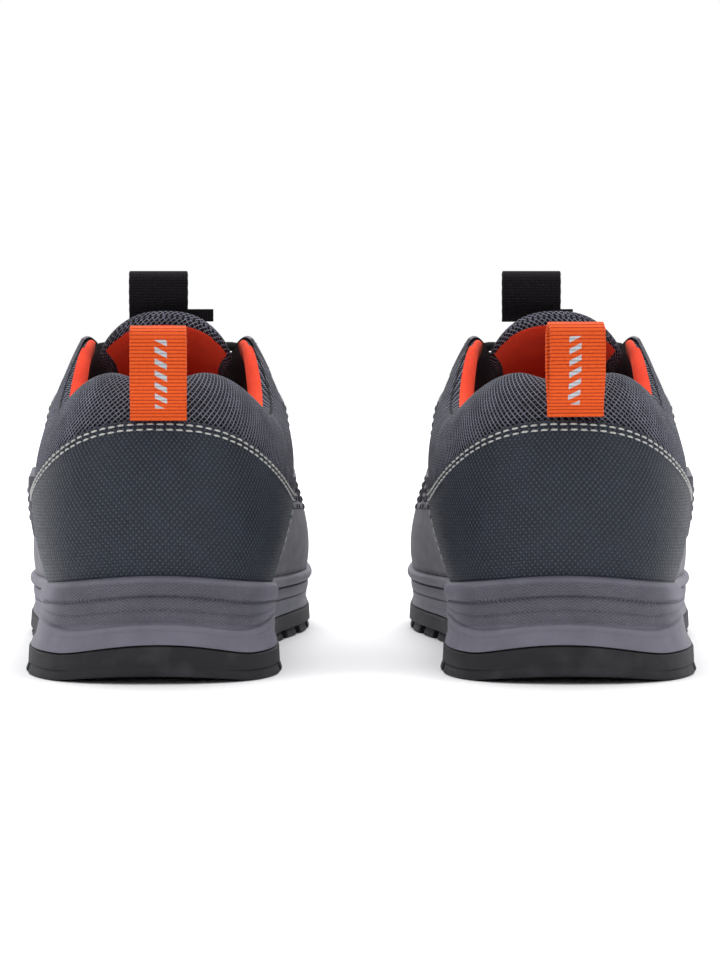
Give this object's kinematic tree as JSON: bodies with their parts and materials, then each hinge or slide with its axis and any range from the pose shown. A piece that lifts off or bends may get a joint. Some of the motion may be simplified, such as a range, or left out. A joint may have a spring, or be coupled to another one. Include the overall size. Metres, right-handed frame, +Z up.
{
  "type": "pair of hiking shoes",
  "caption": "Pair of low-cut lace-up hiking shoes with mesh uppers, embossed heel counters, ribbed midsoles, lugged outsoles, orange linings and pull loops at heel and tongue.",
  "frame": {"origin": "on the floor, at the middle of the pair's bounding box", "axes": "+Y from the heels to the toes, +Z up from the floor, +X from the left shoe to the right shoe"},
  "size_m": [0.2311, 0.2887, 0.1276],
  "materials": {
    "rubber": "moulded, satin charcoal",
    "foam": "moulded foam, matt grey",
    "board": "pressed fibre board",
    "footbed": "knit over foam",
    "mesh": "open knitted mesh, grey on black",
    "counter": "coated fabric, embossed diamonds",
    "padding": "soft open-cell foam",
    "lining": "brushed knit, orange",
    "toe_rubber": "moulded, matt",
    "overlay": "smooth synthetic suede, grey",
    "lace": "braided, matt black",
    "black_webbing": "woven webbing, black",
    "orange_webbing": "ribbed webbing, orange"
  },
  "bodies": {
    "left_shoe": {"left_outsole": "rubber", "left_midsole": "foam", "left_insole_board": "board", "left_insole": "footbed", "left_vamp": "mesh", "left_quarter": "mesh", "left_heel_counter": "counter", "left_heel_stiffener": "board", "left_collar_padding": "padding", "left_lining": "lining", "left_toe_cap": "toe_rubber", "left_toe_stiffener": "board", "left_inner_overlay": "overlay", "left_outer_overlay": "overlay", "left_eyestay": "overlay", "left_lace_loop_inner_1": "black_webbing", "left_lace_loop_outer_1": "black_webbing", "left_lace_loop_inner_2": "black_webbing", "left_lace_loop_outer_2": "black_webbing", "left_lace_loop_inner_3": "black_webbing", "left_lace_loop_outer_3": "black_webbing", "left_lace_loop_inner_4": "black_webbing", "left_lace_loop_outer_4": "black_webbing", "left_lace_loop_inner_5": "black_webbing", "left_lace_loop_outer_5": "black_webbing", "left_lace": "lace", "left_tongue_lower": "mesh"},
    "left_tongue_top": {"left_tongue_upper": "mesh"},
    "left_tongue_loop": {"left_tongue_pull_loop": "black_webbing"},
    "left_heel_loop": {"left_heel_pull_loop": "orange_webbing"},
    "right_shoe": {"right_outsole": "rubber", "right_midsole": "foam", "right_insole_board": "board", "right_insole": "footbed", "right_vamp": "mesh", "right_quarter": "mesh", "right_heel_counter": "counter", "right_heel_stiffener": "board", "right_collar_padding": "padding", "right_lining": "lining", "right_toe_cap": "toe_rubber", "right_toe_stiffener": "board", "right_inner_overlay": "overlay", "right_outer_overlay": "overlay", "right_eyestay": "overlay", "right_lace_loop_inner_1": "black_webbing", "right_lace_loop_outer_1": "black_webbing", "right_lace_loop_inner_2": "black_webbing", "right_lace_loop_outer_2": "black_webbing", "right_lace_loop_inner_3": "black_webbing", "right_lace_loop_outer_3": "black_webbing", "right_lace_loop_inner_4": "black_webbing", "right_lace_loop_outer_4": "black_webbing", "right_lace_loop_inner_5": "black_webbing", "right_lace_loop_outer_5": "black_webbing", "right_lace": "lace", "right_tongue_lower": "mesh"},
    "right_tongue_top": {"right_tongue_upper": "mesh"},
    "right_tongue_loop": {"right_tongue_pull_loop": "black_webbing"},
    "right_heel_loop": {"right_heel_pull_loop": "orange_webbing"}
  },
  "joints": [
    {"name": "left_tongue_fold", "type": "hinge", "parent": "left_shoe", "child": "left_tongue_top", "pos_m": [-0.06482, -0.0195, 0.1037], "axis": [-0.9999, -0.014, 0], "range_deg": [0, 30], "stiffness_Nm_per_rad": 0.1},
    {"name": "left_tongue_loop_bend", "type": "hinge", "parent": "left_tongue_top", "child": "left_tongue_loop", "pos_m": [-0.06722, -0.02624, 0.11055], "axis": [-0.9999, -0.014, 0], "range_deg": [-8, 50], "stiffness_Nm_per_rad": 0.006},
    {"name": "left_heel_loop_bend", "type": "hinge", "parent": "left_shoe", "child": "left_heel_loop", "pos_m": [-0.06256, -0.139, 0.08425], "axis": [0.9999, 0.014, 0], "range_deg": [-8, 60], "stiffness_Nm_per_rad": 0.006},
    {"name": "right_tongue_fold", "type": "hinge", "parent": "right_shoe", "child": "right_tongue_top", "pos_m": [0.06596, -0.01949, 0.1037], "axis": [-1, 0.007, 0], "range_deg": [0, 30], "stiffness_Nm_per_rad": 0.1},
    {"name": "right_tongue_loop_bend", "type": "hinge", "parent": "right_tongue_top", "child": "right_tongue_loop", "pos_m": [0.05791, -0.02611, 0.11055], "axis": [-1, 0.007, 0], "range_deg": [-8, 50], "stiffness_Nm_per_rad": 0.006},
    {"name": "right_heel_loop_bend", "type": "hinge", "parent": "right_shoe", "child": "right_heel_loop", "pos_m": [0.06763, -0.13902, 0.08425], "axis": [1, -0.007, 0], "range_deg": [-8, 60], "stiffness_Nm_per_rad": 0.006},
    {"name": "right_shoe_lift", "type": "slide", "parent": "left_shoe", "child": "right_shoe", "axis": [0, 0, 1], "range_m": [0, 0.15]}
  ]
}
